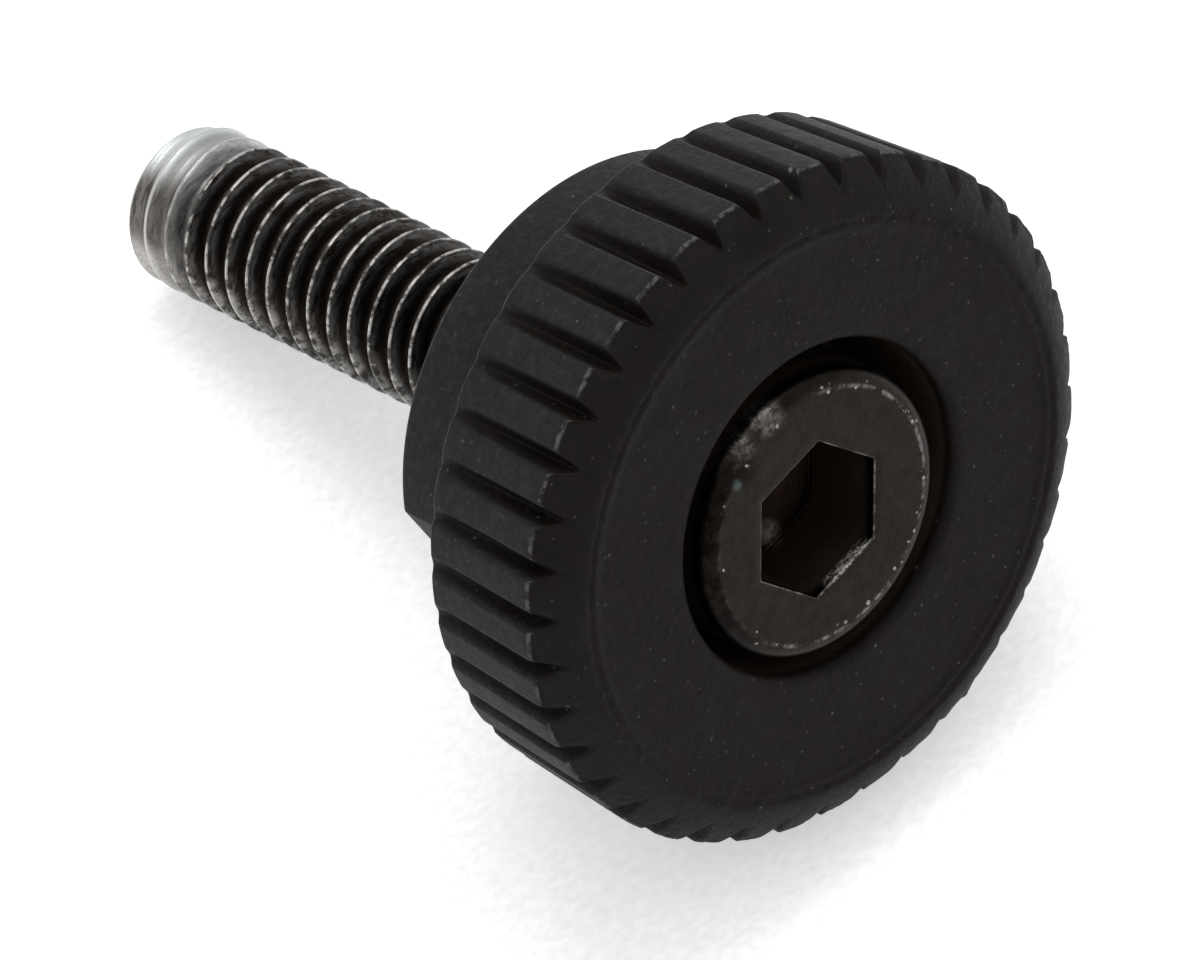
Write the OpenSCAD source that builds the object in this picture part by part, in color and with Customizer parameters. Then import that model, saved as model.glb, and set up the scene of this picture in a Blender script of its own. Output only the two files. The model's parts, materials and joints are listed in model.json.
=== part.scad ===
// Thumb screw: a knurled round knob carried on a socket head cap screw.
// The screw drops into a counterbore in the knob, its shank leaves through the
// hub at the back. The assembly lies the way it rests on a bench: on two
// ridges of the knob and on the end of the thread.
// Origin: on the screw's axis, where its thread begins, just behind the hub.
// +Z up, the knob's face looks to -Y and the shank points to +Y.

/* [Knob] */
// Diameter over the ridges at the front face
knob_d = 16.7; // [14.8:0.1:22]
// How much smaller the ridges' diameter is at the back of the disc
draft = 0.7; // [0:0.05:0.75]
// Length of the ridged disc along the axis
disc_h = 4.3; // [3:0.1:8]
// Number of ridges round the rim
ridges = 40; // [24:2:60]
// Depth of the grooves between the ridges, at the front
groove_depth = 0.58; // [0.45:0.01:0.8]
// Diameter of the flat on the front face
face_d = 13.7; // [11:0.1:13.9]
// Length of the curved bevel round the front face
bevel_h = 0.7; // [0.3:0.1:1.5]

/* [Hub] */
// Diameter of the hub behind the disc
hub_d = 12.1; // [9:0.1:13]
// Length of the hub
hub_h = 3.2; // [1:0.1:8]
// Distance across the two flats on the hub
hub_flats = 10.4; // [8:0.1:11.5]
// Bevel round the hub's back edge
hub_edge = 0.15; // [0.1:0.05:0.6]
// Turn of the flats about the axis, from the resting side
hub_turn = 73; // [0:1:180]

/* [Counterbore] */
// Diameter of the recess that takes the screw's head
recess_d = 8.1; // [7.6:0.1:9]
// Height of the rounded lip of the recess
recess_lip = 0.3; // [0.1:0.05:0.5]
// Diameter of the clearance hole for the shank
hole_d = 4.5; // [4.3:0.1:5]

/* [Screw] */
// Major diameter of the thread, over its crests
thread_d = 3.9; // [3.8:0.1:4]
// Diameter of the plain neck under the head
neck_d = 3.5; // [3.2:0.1:3.6]
// How far the neck stands out of the hub, before the thread begins
thread_gap = 0.35; // [0.2:0.05:0.6]
// Length under the head
shank_l = 17.8; // [12:0.1:30]
// Diameter of the head
head_d = 7; // [6.6:0.1:7.2]
// Height of the head
head_h = 4; // [3:0.1:4.5]
// How far the head's top stands past the knob's face
head_proud = 0.15; // [-1:0.05:0.5]
// Rounded edge on the head's top
head_edge = 0.38; // [0.1:0.02:0.5]
// Distance across the flats of the hexagon socket
socket_af = 3.4; // [3:0.1:3.5]
// Depth of the socket to its flat sides' end
socket_depth = 2.2; // [1.5:0.1:2.6]
// Diameter of the flat end of the shank
tip_d = 3.35; // [3:0.05:3.7]
// Length of the bevel on the end of the shank
tip_h = 0.35; // [0.2:0.05:0.8]

/* [Seating] */
// How far the screw sits off the knob's axis, in the play of the hole
seat_offset = 0.15; // [0:0.05:0.2]
// Direction of that offset about the axis, from the resting side
seat_turn = 80; // [0:1:180]
// Turn of the socket's corners about the axis, from the resting side
socket_turn = -38; // [-60:1:60]

/* [Hidden] */
$fn = 96;
eps = 0.01;
knob_r = knob_d / 2;
rear_r = (knob_d - draft) / 2;     // ridges at the back of the disc
root_r = knob_r - groove_depth;    // groove bottoms
edge_r = knob_r - draft / 2 * bevel_h / disc_h;    // ridges where the bevel meets them
bevel_w = edge_r - face_d / 2;     // how far the bevel reaches in over the face
face_z = -(disc_h + hub_h);        // front face, along the axis from the hub
back_z = -hub_h;                   // back face of the disc
head_top = face_z - head_proud;    // top of the head
seat_z = head_top + head_h;        // floor of the recess and under the head
end_z = seat_z + shank_l;          // end of the shank
step = 360 / ridges;

// the bevel: place across it (0 is the face's edge, 1 the ridges) and height lost
bevel_t = [0, 0.3, 0.5, 0.7, 0.85, 1, 1.2];
function fallen(t) = bevel_h * pow(t, 1.8);

// one ridge: place across it (-1 and 1 are the groove bottoms) and height lost
ridge_t = [-1, -0.84, -0.64, -0.36, 0, 0.36, 0.64, 0.84];
function lost(t) = (groove_depth + 0.04) * pow(abs(t), 2.6);

// screw's place from the knob's axis; angle 90 is the resting side
seat_x = seat_offset * cos(90 + seat_turn);
seat_y = seat_offset * sin(90 + seat_turn);

// the axis leans so that two ridges and the shank's end touch one plane
rest_r = rear_r * cos(step / 2);
lean_a = atan2(rest_r - thread_d / 2 - seat_y, end_z - tip_h - back_z);
lean_b = atan2(rest_r - tip_d / 2 - seat_y, end_z - back_z);
lean = min(lean_a, lean_b);

// lays an axial shape (axis +Z, hub's back face at 0, resting side +Y) in its
// resting pose, with the beginning of the thread in the origin
module rest_pose() {
    rotate([-(90 + lean), 0, 0]) translate([0, 0, -thread_gap]) children();
}

// outline of the ridged rim, a groove bottom on the resting side
module rim_outline() {
    polygon([for (i = [0 : ridges - 1]) for (t = ridge_t)
        let (a = 90 + (i + 0.5 + t / 2) * step, r = knob_r - lost(t))
        [r * cos(a), r * sin(a)]]);
}

module disc() {
    intersection() {
        union() {
            translate([0, 0, face_z])
                linear_extrude(height = disc_h, scale = rear_r / knob_r) rim_outline();
            translate([0, 0, face_z]) cylinder(r = root_r, h = disc_h);
        }
        rotate_extrude()
            polygon([[0, face_z],
                     for (t = bevel_t) [face_d / 2 + t * bevel_w, face_z + fallen(t)],
                     [knob_d, back_z], [0, back_z]]);
    }
}

module hub() {
    flat_w = hub_d + 2;
    difference() {
        rotate_extrude()
            polygon([[0, back_z - eps], [hub_d / 2, back_z - eps],
                     [hub_d / 2, -hub_edge], [hub_d / 2 - hub_edge, 0], [0, 0]]);
        for (side = [0, 180])
            rotate([0, 0, 90 + hub_turn + side])
                translate([hub_flats / 2, -flat_w / 2, back_z])
                    cube([flat_w, flat_w, hub_h + 1]);
    }
}

// everything cut away round the axis: recess, its lip and the hole
module knob_bore() {
    translate([0, 0, face_z - 1])
        cylinder(d = recess_d, h = seat_z - face_z + 1);
    translate([0, 0, seat_z - 1]) cylinder(d = hole_d, h = 1 - seat_z + 1);
    rotate_extrude()
        polygon([[0, face_z - eps], [recess_d / 2 + recess_lip + eps, face_z - eps],
                 [recess_d / 2 + recess_lip * 0.42, face_z + recess_lip * 0.3],
                 [recess_d / 2, face_z + recess_lip], [0, face_z + recess_lip]]);
}

module knob() {
    color([0.15, 0.14, 0.14])
        rest_pose()
            translate([-seat_x, -seat_y, 0])
                difference() {
                    union() {
                        disc();
                        hub();
                    }
                    knob_bore();
                }
}

module screw_body() {
    translate([0, 0, head_top])
        rotate_extrude()
            polygon([[0, 0], [head_d / 2 - head_edge, 0],
                     [head_d / 2 - head_edge * 0.3, head_edge * 0.3],
                     [head_d / 2, head_edge], [head_d / 2, head_h], [0, head_h]]);
    translate([0, 0, seat_z - eps])
        cylinder(d = neck_d, h = thread_gap - seat_z + 2 * eps);
    translate([0, 0, thread_gap])
        cylinder(d = thread_d, h = end_z - tip_h - thread_gap);
    translate([0, 0, end_z - tip_h])
        cylinder(d1 = thread_d, d2 = tip_d, h = tip_h);
}

module socket() {
    corner_d = socket_af / cos(30);
    translate([0, 0, head_top - 1])
        rotate([0, 0, 90 + socket_turn])
            cylinder(d = corner_d, h = socket_depth + 1, $fn = 6);
    translate([0, 0, head_top + socket_depth - eps])
        cylinder(d1 = socket_af, d2 = 0.4, h = socket_af * 0.2);
}

module screw() {
    color([0.19, 0.18, 0.17])
        rest_pose()
            difference() {
                screw_body();
                socket();
            }
}

knob();
screw();
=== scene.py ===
# %% [markdown]
# # A thumb screw, dressed for its portrait
#
# The real object is a socket head cap screw that sits in the recess of a round,
# ridged knob. Somebody turns the knob by hand, or the screw with a hexagon key.
# It lies on a white bench: two ridges of the knob and the end of the thread
# touch the bench.
#
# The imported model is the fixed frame. It says where the screw's axis is, how
# thick the thread is and where the knob's hub ends. Everything below is made
# round that axis, in millimetres, and then laid down in the frame's own pose.

import json
import math

import bmesh
import bpy
import numpy as np
from mathutils import Matrix, Vector, noise


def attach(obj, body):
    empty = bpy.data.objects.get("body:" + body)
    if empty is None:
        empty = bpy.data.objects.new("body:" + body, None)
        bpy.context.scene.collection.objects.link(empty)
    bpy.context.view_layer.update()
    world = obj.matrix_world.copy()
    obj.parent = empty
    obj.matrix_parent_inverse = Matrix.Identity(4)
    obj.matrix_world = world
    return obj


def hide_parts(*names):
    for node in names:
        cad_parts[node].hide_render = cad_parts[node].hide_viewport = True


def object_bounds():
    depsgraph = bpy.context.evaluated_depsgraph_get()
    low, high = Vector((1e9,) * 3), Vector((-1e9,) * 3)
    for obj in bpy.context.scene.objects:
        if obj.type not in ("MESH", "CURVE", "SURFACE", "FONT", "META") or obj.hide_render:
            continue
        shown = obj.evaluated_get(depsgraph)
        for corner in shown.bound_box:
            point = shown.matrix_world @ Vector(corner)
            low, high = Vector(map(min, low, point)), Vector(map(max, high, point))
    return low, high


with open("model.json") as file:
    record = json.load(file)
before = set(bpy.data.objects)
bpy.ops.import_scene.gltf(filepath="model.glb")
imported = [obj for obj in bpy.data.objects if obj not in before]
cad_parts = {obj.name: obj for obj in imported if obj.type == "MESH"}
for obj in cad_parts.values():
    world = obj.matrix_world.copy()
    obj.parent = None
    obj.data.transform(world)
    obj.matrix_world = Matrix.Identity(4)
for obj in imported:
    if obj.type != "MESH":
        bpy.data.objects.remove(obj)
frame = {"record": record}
cad_low, cad_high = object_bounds()
MM = 0.001
print("packed box, mm:", [round((h - l) / MM, 2) for l, h in zip(cad_low, cad_high)])

# %% [markdown]
# ## The axis
#
# The model's record states two places where a stranger fastens the screw: its
# thread and the back face of the hub. Their numbers give the axis, the lean of
# the screw, the thread's size and the plane of the hub. Reading them, and not
# typing them again, keeps this script true if the model changes.
#
# "Local" below means: the axis is Z and runs from the head to the tip, the
# hub's back face is at 0, and +Y is the side that lies on the bench. Turns
# about the axis are counted from +X, so the bench is at 90 degrees.

# %% Read the axis from the record
mounts = {m["name"]: m for m in frame["record"]["mounts"]}
thread_mount = mounts["thread"]
hub_mount = mounts["hub_face"]
axis = Vector(thread_mount["axis"]).normalized()
thread_start = Vector(thread_mount["pos_m"])
neck_out = (thread_start - Vector(hub_mount["pos_m"])).dot(axis)
hub_centre = thread_start - axis * neck_out
lean = math.asin(-axis.z)
lay_down = Matrix.Translation(hub_centre) @ Matrix.Rotation(-(math.pi / 2 + lean), 4, "X")

thread_r = thread_mount["dims"]["r_mm"]
thread_z0 = neck_out / MM
thread_z1 = thread_z0 + thread_mount["dims"]["length_mm"]
print(f"lean {math.degrees(lean):.2f} deg, thread r {thread_r} mm,",
      f"from {thread_z0:.2f} to {thread_z1:.2f} mm behind the hub")

# %% [markdown]
# ## Camera
#
# The part is small, so it is seen from about a metre away through a long lens,
# which keeps its circles nearly free of perspective. The camera looks down on
# the knob's face from the front left. It comes before the pieces because their
# detail is judged from here.

# %% Place the camera
VIEW_TURN = -132.973  # degrees from +X round to the camera
VIEW_HEIGHT = 55.044  # degrees above the bench
VIEW_ROLL = -3.726  # degrees
VIEW_DISTANCE = 1.0052  # metres
VIEW_NEAR, VIEW_FAR = 0.1, 10  # metres
VIEW_LENS, VIEW_FILM = 1329.6, 36  # mm
VIEW_AIM = Vector((-0.889, -1.257, -1.067)) * MM


def direction(turn, height):
    """Unit vector towards a place on the sky: degrees round from +X, and above the bench."""
    t, h = math.radians(turn), math.radians(height)
    return Vector((math.cos(t) * math.cos(h), math.sin(t) * math.cos(h), math.sin(h)))


def looking_at(away, roll=0.0):
    """Rotation of a camera or lamp that stands in the direction `away` and looks back."""
    rolled = Matrix.Rotation(math.radians(roll), 4, "Z")
    return (-away).to_track_quat("-Z", "Y").to_matrix().to_4x4() @ rolled


camera = bpy.data.objects.new("camera", bpy.data.cameras.new("camera"))
bpy.context.scene.collection.objects.link(camera)
camera.data.sensor_width = VIEW_FILM
camera.data.lens = VIEW_LENS
camera.data.clip_start, camera.data.clip_end = VIEW_NEAR, VIEW_FAR
away = direction(VIEW_TURN, VIEW_HEIGHT)
camera.matrix_world = Matrix.Translation(VIEW_AIM + away * VIEW_DISTANCE) @ looking_at(away, VIEW_ROLL)
bpy.context.scene.camera = camera
print("camera at, m:", [round(c, 3) for c in camera.location])

# %% [markdown]
# ## How a turned part becomes a mesh
#
# Both pieces are round things with something extra: ridges, flats, a hexagon,
# a thread. They could be cut from cylinders with boolean modifiers, but those
# leave long thin triangles and knife edges. Here each piece is a lathe profile
# that is worked out again for every angle. The profile's corners are given
# with a small cut length, and each corner is replaced by a short curve, as a
# moulded or tumbled edge has.
#
# All profiles of a piece have the same number of points, so neighbours join
# into a clean grid of four-sided faces.

# %% Profiles with soft corners
LONGEST_CUT = 0.45  # of the stretch between two corners, so that their cuts never meet


class Profile:
    """A row of corners that are arrays over the angle, turned into rows of points."""

    def __init__(self, angles):
        self.angles = angles
        self.corners = []

    def to(self, r, z, cut=0.0, steps=1, sub=1, edge=0.0, curve=None):
        """Adds a corner: cut length in mm, points on its curve, pieces of the stretch that follows.

        edge says how much an exposed edge it is. curve bends the stretch that follows."""
        full = np.ones_like(self.angles)
        self.corners.append((full * r, full * z, cut, steps, sub, edge, curve))

    def rounded(self, i):
        """The points that stand in for corner i: a curve between the two ends of its cut."""
        r, z, cut, steps, _, edge, _ = self.corners[i]
        sides = []
        for other in (self.corners[i - 1], self.corners[(i + 1) % len(self.corners)]):
            dr, dz = other[0] - r, other[1] - z
            share = np.minimum(cut / np.maximum(np.hypot(dr, dz), 1e-9), LONGEST_CUT)
            sides.append((r + dr * share, z + dz * share))
        (ra, za), (rb, zb) = sides
        points = []
        for k in range(steps + 1):
            s = k / steps
            a, b, c = (1 - s) ** 2, 2 * s * (1 - s), s * s
            points.append((a * ra + b * r + c * rb, a * za + b * z + c * zb, edge * 4 * s * (1 - s)))
        return points

    def rows(self, closed):
        """Arrays r, z and edge, each rows by angles."""
        n = len(self.corners)
        stops = []
        for i, (r, z, cut, _, _, edge, _) in enumerate(self.corners):
            is_end = not closed and i in (0, n - 1)
            stops.append([(r, z, edge)] if cut == 0 or is_end else self.rounded(i))
        points = []
        for i in range(n):
            points += stops[i]
            if not closed and i == n - 1:
                break
            sub, curve = self.corners[i][4], self.corners[i][6]
            (r0, z0, _), (r1, z1, _) = stops[i][-1], stops[(i + 1) % n][0]
            for k in range(1, sub):
                s = k / sub
                r, z = r0 + (r1 - r0) * s, z0 + (z1 - z0) * s
                points.append((*(curve(r, z) if curve else (r, z)), 0))
        return tuple(np.array([point[part] + 0 * self.angles for point in points]) for part in range(3))


# %% Soft steps, soft humps and noise round a circle
NOISE_CIRCLE = 6.3  # about the length of a circle of radius 1


def smooth(s):
    """0 to 1 with soft ends."""
    s = np.clip(s, 0, 1)
    return s * s * (3 - 2 * s)


def around(angles, size, seed, depth=2):
    """Smooth noise from -1 to 1 round a circle. size is how many waves fit on it."""
    r = size / NOISE_CIRCLE
    circle = [(math.cos(a) * r, math.sin(a) * r, seed) for a in angles]
    return np.array([noise.fractal(place, 1.0, 2.0, depth) for place in circle])


def hump(x, middle, width):
    """A soft hump of height 1 round the middle."""
    return np.exp(-(((x - middle) / width) ** 2))


print("a quarter of the way along, a soft step has reached", smooth(0.25))

# %% [markdown]
# ## The knob's ridged rim
#
# Forty ridges stand round the rim. Each has a flat back, and the grooves
# between them are narrow and deep. The mould needs draft to let the knob go,
# so the ridges are tallest at the front and lowest at the back, while the
# bottoms of the grooves nearly keep one radius.
#
# A curved bevel runs round the front and cuts every ridge off square, while
# the grooves run on into it as points. Between the bevel and the flat face
# stands a low lip, which steps down to the face on its inner side.
# Moulded parts are never perfect: the ridges differ by a few hundredths of a
# millimetre, the bevel wanders a little, the ends of the ridges are slightly
# chipped, and one groove is nearly filled.

# %% Sizes of the knob, in mm
HUB_LENGTH = 3.2
DISC_LENGTH = 4.3
FACE_Z = -(HUB_LENGTH + DISC_LENGTH)
BACK_Z = -HUB_LENGTH
RIDGES = 40
CREST_FRONT, CREST_BACK = 8.34, 8.0
CREST_CROWN = 0.015  # how much a ridge's back falls off towards the groove
LAND_SHARE = 0.55  # of the pitch: the flat back of a ridge
LAND_ROUND = 0.08  # of a groove's side: the small round at the land's edge
GROOVE_FRONT, GROOVE_BACK = 7.74, 7.82
GROOVE_END, GROOVE_END_SHARE = 0.12, 0.14  # the groove's floor rises over this last share of the disc
GROOVE_POWER = 1.4  # above 1, the sides of a groove are hollow
RIDGE_TURN = math.radians(0.9)  # the ridges sit this much further round than a groove at the bottom
FACE_R, LIP_R, LIP_WIDE, LIP_HIGH = 6.68, 7.05, 0.15, 0.055
BEVEL_R, BEVEL_LENGTH, BEVEL_POWER = 8.28, 0.7, 1.7
HUB_R, HUB_FLAT, HUB_EDGE = 6.05, 5.2, 0.15
HUB_FLAT_TURN = math.radians(90 + 73)
RECESS_R, HOLE_R, SEAT_Z = 4.05, 2.25, -3.65
RECESS_EDGE = 0.3
OFF_AXIS, OFF_TURN = 0.15, math.radians(90 + 80)
RIDGES_VARY, BEVEL_WANDERS, CHIPS_DEEP = 0.022, 0.035, 0.03
CHIPS_INWARD = 0.3  # of its depth: how far a chip also goes in towards the axis
FILLED_TURN, FILLED_WIDE, FILLED_HIGH = math.radians(73.6), math.radians(1.5), 0.42
FILLED_TO, FILLED_FADE = 0.15, 0.35  # shares of the disc: filled from the front to here, then fading
NIB_TURN, NIB_WIDE = 74.3, 1.0  # degrees: a crumb of plastic left on the rim
NIB_BACK, NIB_LONG, NIB_HIGH = 0.75, 0.28, 0.13
COLUMNS_PER_RIDGE = 25
CROWDING = 0.055  # of a pitch: how far the columns are drawn into the grooves

# %% Columns round the knob
along_rim = np.linspace(0, RIDGES, RIDGES * COLUMNS_PER_RIDGE, endpoint=False)
along_rim = along_rim - CROWDING * np.sin(2 * math.pi * along_rim)
knob_angles = math.pi / 2 + RIDGE_TURN + 2 * math.pi / RIDGES * along_rim
side = along_rim % 1 * 2 - 1  # -1 and 1 in the grooves, 0 on a crest
across = np.abs(side)
ridge_high = RIDGES_VARY * around(knob_angles, 34, 3.1)
bevel_wander = BEVEL_WANDERS * around(knob_angles, 60, 7.7, 3)
chips = CHIPS_DEEP * around(knob_angles, 260, 5.2)
from_filled = (knob_angles - FILLED_TURN + math.pi) % (2 * math.pi) - math.pi
filling = FILLED_HIGH * hump(from_filled, 0, FILLED_WIDE)
print("columns:", len(knob_angles), " ridge pitch, mm:", round(2 * math.pi * CREST_FRONT / RIDGES, 3))

# %% The ridged wall and the bevel that cuts it


def crest_radius(z):
    """Radius of the ridges' backs: largest at the front, smallest at the back of the disc."""
    return CREST_FRONT + (CREST_BACK - CREST_FRONT) * (z - FACE_Z) / DISC_LENGTH


def wall_radius(z):
    """Radius of the ridged wall at height z, for every angle."""
    s = np.clip((z - FACE_Z) / DISC_LENGTH, 0, 1)
    crest = CREST_FRONT + (CREST_BACK - CREST_FRONT) * s + ridge_high
    floor = GROOVE_FRONT + (GROOVE_BACK - GROOVE_FRONT) * s
    floor = floor + GROOVE_END * smooth((s - (1 - GROOVE_END_SHARE)) / GROOVE_END_SHARE)
    floor = floor + filling * (1 - smooth((s - FILLED_TO) / FILLED_FADE))
    into = np.clip((across - LAND_SHARE) / (1 - LAND_SHARE), 0, 1)
    into = np.clip((into - LAND_ROUND * (1 - np.exp(-into / LAND_ROUND))) / (1 - LAND_ROUND), 0, 1)
    return floor + (crest - CREST_CROWN * across**2 - floor) * (1 - into) ** GROOVE_POWER


def bevel_depth(r):
    """How far behind the face's plane the bevel lies at radius r. It wanders most at its outer end."""
    u = np.clip((r - LIP_R) / (BEVEL_R - LIP_R), 0, 1.2)
    return -LIP_HIGH + (BEVEL_LENGTH + LIP_HIGH) * u**BEVEL_POWER + bevel_wander * smooth(u * 1.4 - 0.3)


def where_bevel_meets_wall(halvings=40):
    """Height at which each angle's wall comes out of the bevel, by halving."""
    low = np.full_like(knob_angles, FACE_Z)
    high = np.full_like(knob_angles, FACE_Z + 2 * BEVEL_LENGTH)
    for _ in range(halvings):
        mid = (low + high) / 2
        inside = FACE_Z + bevel_depth(wall_radius(mid)) > mid
        low, high = np.where(inside, mid, low), np.where(inside, high, mid)
    return (low + high) / 2


land_z = where_bevel_meets_wall()
cut_from, cut_to = land_z.min() - FACE_Z, land_z.max() - FACE_Z
print(f"the bevel cuts the ridges {cut_from:.2f} to {cut_to:.2f} mm behind the face")

# %% [markdown]
# ## The knob's section
#
# The profile walks from the hole out over the hub, along the rim to the front,
# in over the bevel and the face and down into the recess. It ends where it
# began, so the mesh closes into a ring with no cap to sew on.

# %% Walk round the knob's section
to_flat = np.maximum(np.abs(np.cos(knob_angles - HUB_FLAT_TURN)), 0.1)
hub_r = np.minimum(HUB_R, HUB_FLAT / to_flat)
land_r = wall_radius(land_z) - CHIPS_INWARD * np.abs(chips)

section = Profile(knob_angles)
section.to(HOLE_R, 0, cut=0.12, steps=3, sub=3)
section.to(hub_r, 0, cut=HUB_EDGE, steps=4, sub=6, edge=0.7)
section.to(hub_r, BACK_Z, cut=0.12, steps=3, sub=4)
section.to(wall_radius(BACK_Z + 0 * knob_angles), BACK_Z, cut=0.08, steps=4, sub=14, edge=0.9,
           curve=lambda r, z: (wall_radius(z), z))
section.to(land_r, land_z + chips, cut=0.1, steps=4, sub=10, edge=1.0,
           curve=lambda r, z: (r, FACE_Z + bevel_depth(r)))
section.to(LIP_R - LIP_WIDE, FACE_Z - LIP_HIGH, cut=0.12, steps=4, sub=1)
section.to(FACE_R, FACE_Z, cut=0.12, steps=4, sub=7)
section.to(RECESS_R, FACE_Z, cut=RECESS_EDGE, steps=6, sub=6, edge=0.4)
section.to(RECESS_R, SEAT_Z, cut=0.1, steps=2, sub=3)
section.to(HOLE_R, SEAT_Z, cut=0.08, steps=2, sub=3)
knob_r, knob_z, knob_edge = section.rows(closed=True)
print("rows:", len(knob_r), " points:", knob_r.size)

# %% [markdown]
# ## Where the knob has been used
#
# Two numbers go with every point of the knob. `edge` is high where an edge
# stands out and rubs bare: the square ends of the ridges and the back rim. On
# one side of the knob it is also high along the long sides of the ridges, where
# it stands for a painted highlight of edges that catch the light. `handled` is
# high where fingers and other parts scuff the plastic grey: the backs of the
# ridges and the hub. They are worked out here, from the shape itself, so that
# the wear and the highlight stay on the edges whatever the sizes are.

# %% Work out the worn edges, the painted highlight along the ridges' sides and the handled places
RUBS_OUTSIDE = 5  # mm: the recess's lip, inside this radius, is not rubbed
LAND_PAST, LAND_FADE = 0.12, 0.15  # of a pitch: how far past the land the bevel's edge still rubs
GROOVE_RUB = 0.3  # of the rubbing is left where a groove runs out
SIDE_HIGHLIGHT_TURN, SIDE_HIGHLIGHT_FADE = 236, 30  # degrees: from here on the ridges' sides carry a painted highlight
SIDE_HIGHLIGHT_STRENGTH, SIDE_HIGHLIGHT_WIDE = 0.75, 0.06
TOUCHED, TOUCHED_FADE = 0.16, 0.12  # mm below a crest that fingers reach
BEVEL_FADE = 0.06  # mm over which the handled land turns into the bevel
BEVEL_TOUCHED, BEVEL_TOUCHED_FADE, HUB_TOUCHED = 0.2, 0.3, 1.2
HOLE_CLEAR = 0.5  # mm round the hole that nothing scuffs
FRONT = 1  # mm behind the face that count as the front
TINY = 0.01

turn_of = np.degrees(knob_angles) % 360
on_land = smooth((LAND_SHARE + LAND_PAST - across) / LAND_FADE)
at_front = (knob_z < FACE_Z + FRONT) & (knob_r > LIP_R)
knob_edge = np.where(at_front, knob_edge * (GROOVE_RUB + (1 - GROOVE_RUB) * on_land), knob_edge)
knob_edge = knob_edge * (knob_r > RUBS_OUTSIDE)

below_crest = crest_radius(knob_z) - knob_r
handled = smooth((TOUCHED - below_crest) / TOUCHED_FADE) * smooth((knob_z - land_z) / BEVEL_FADE + 0.5)
# Painted highlight: on the side of the knob that faces the light, the long sides of the ridges get a light
# line, stored with the rubbed edges
side_highlight = hump(side, LAND_SHARE, SIDE_HIGHLIGHT_WIDE) * smooth((turn_of - SIDE_HIGHLIGHT_TURN) / SIDE_HIGHLIGHT_FADE)
knob_edge = np.maximum(knob_edge, SIDE_HIGHLIGHT_STRENGTH * side_highlight * handled * (knob_z < BACK_Z - TINY))
on_bevel = smooth((knob_r - LIP_R) / BEVEL_TOUCHED_FADE) * (knob_z < land_z + 2 * TINY)
handled = np.maximum(handled, BEVEL_TOUCHED * on_bevel)
handled = np.where(knob_z > BACK_Z - TINY, (knob_r > HOLE_R + HOLE_CLEAR) * HUB_TOUCHED, handled)
print("points on rubbed edges:", int((knob_edge > 0.5).sum()), " handled:", int((handled > 0.5).sum()))

# %% Leave the crumb on the rim
nib = hump(turn_of, NIB_TURN, NIB_WIDE) * hump(knob_z, FACE_Z + NIB_BACK, NIB_LONG)
knob_r = knob_r + NIB_HIGH * nib * (knob_r > GROOVE_FRONT)
print("largest radius, mm:", round(float(knob_r.max()), 3))

# %% [markdown]
# ## From rows to a mesh
#
# One function turns rows of radius and height into a mesh in local axes, and a
# second one lays that mesh down in the frame's pose. Every point also keeps
# its local place in millimetres and the numbers that say how worn it is. The
# materials read them: patterns follow the part and not the bench, and an edge
# is where the finish rubs off.

# %% Build a mesh from rows


def new_mesh(layers):
    """An empty mesh whose points can hold a number in each of the named layers."""
    bm = bmesh.new()
    for layer in layers:
        bm.verts.layers.float.new(layer)
    return bm


def add_grid(bm, radius, height, angles, layers, centre=(0, 0), closed_rows=False):
    """Adds a grid of four-sided faces. radius, height and the layers are rows by angles, in mm."""
    x = centre[0] + radius * np.cos(angles)
    y = centre[1] + radius * np.sin(angles)
    n_rows, n_cols = radius.shape
    verts = [[bm.verts.new((x[i, j], y[i, j], height[i, j])) for j in range(n_cols)] for i in range(n_rows)]
    for layer, values in layers.items():
        key = bm.verts.layers.float.get(layer)
        for i in range(n_rows):
            for j in range(n_cols):
                verts[i][j][key] = float(values[i, j])
    for i in range(n_rows if closed_rows else n_rows - 1):
        a, b = verts[i], verts[(i + 1) % n_rows]
        for j in range(n_cols):
            k = (j + 1) % n_cols
            bm.faces.new((a[j], a[k], b[k], b[j]))
    return verts


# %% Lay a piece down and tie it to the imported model


def finish_piece(bm, name, replaces):
    """Lays the local shape down in the frame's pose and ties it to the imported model."""
    bmesh.ops.recalc_face_normals(bm, faces=bm.faces)
    open_edges = sum(1 for e in bm.edges if not e.is_manifold)
    local = bm.verts.layers.float_vector.new("local")
    for v in bm.verts:
        v[local] = v.co
        v.co = lay_down @ (v.co * MM)
    mesh = bpy.data.meshes.new(name)
    bm.to_mesh(mesh)
    bm.free()
    mesh.shade_smooth()
    piece = bpy.data.objects.new(name, mesh)
    bpy.context.scene.collection.objects.link(piece)
    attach(piece, "root")
    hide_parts(replaces)
    triangles = sum(len(p.vertices) - 2 for p in mesh.polygons)
    print(f"{name}: {triangles} triangles, {open_edges} open edges")
    return piece


# %% Make the knob
knob_centre = (-OFF_AXIS * math.cos(OFF_TURN), -OFF_AXIS * math.sin(OFF_TURN))
knob_layers = {"edge": knob_edge, "handled": handled}
bm = new_mesh(knob_layers)
add_grid(bm, knob_r, knob_z, knob_angles, knob_layers, knob_centre, closed_rows=True)
knob = finish_piece(bm, "ridged_knob", "knob")

# %% [markdown]
# ## The screw: head and socket
#
# The head is turned and its hexagon is punched. The profile starts in the
# middle of the socket's floor, climbs a hexagon wall and crosses the flat top
# to a rounded rim. The angles are chosen so that the hexagon's six corners
# each fall on one, which keeps the corners sharp. The punch went in a little
# off the middle, so the socket's points are shifted sideways once they are
# made. The rim has been knocked once: a dent is pressed into it.

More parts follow.
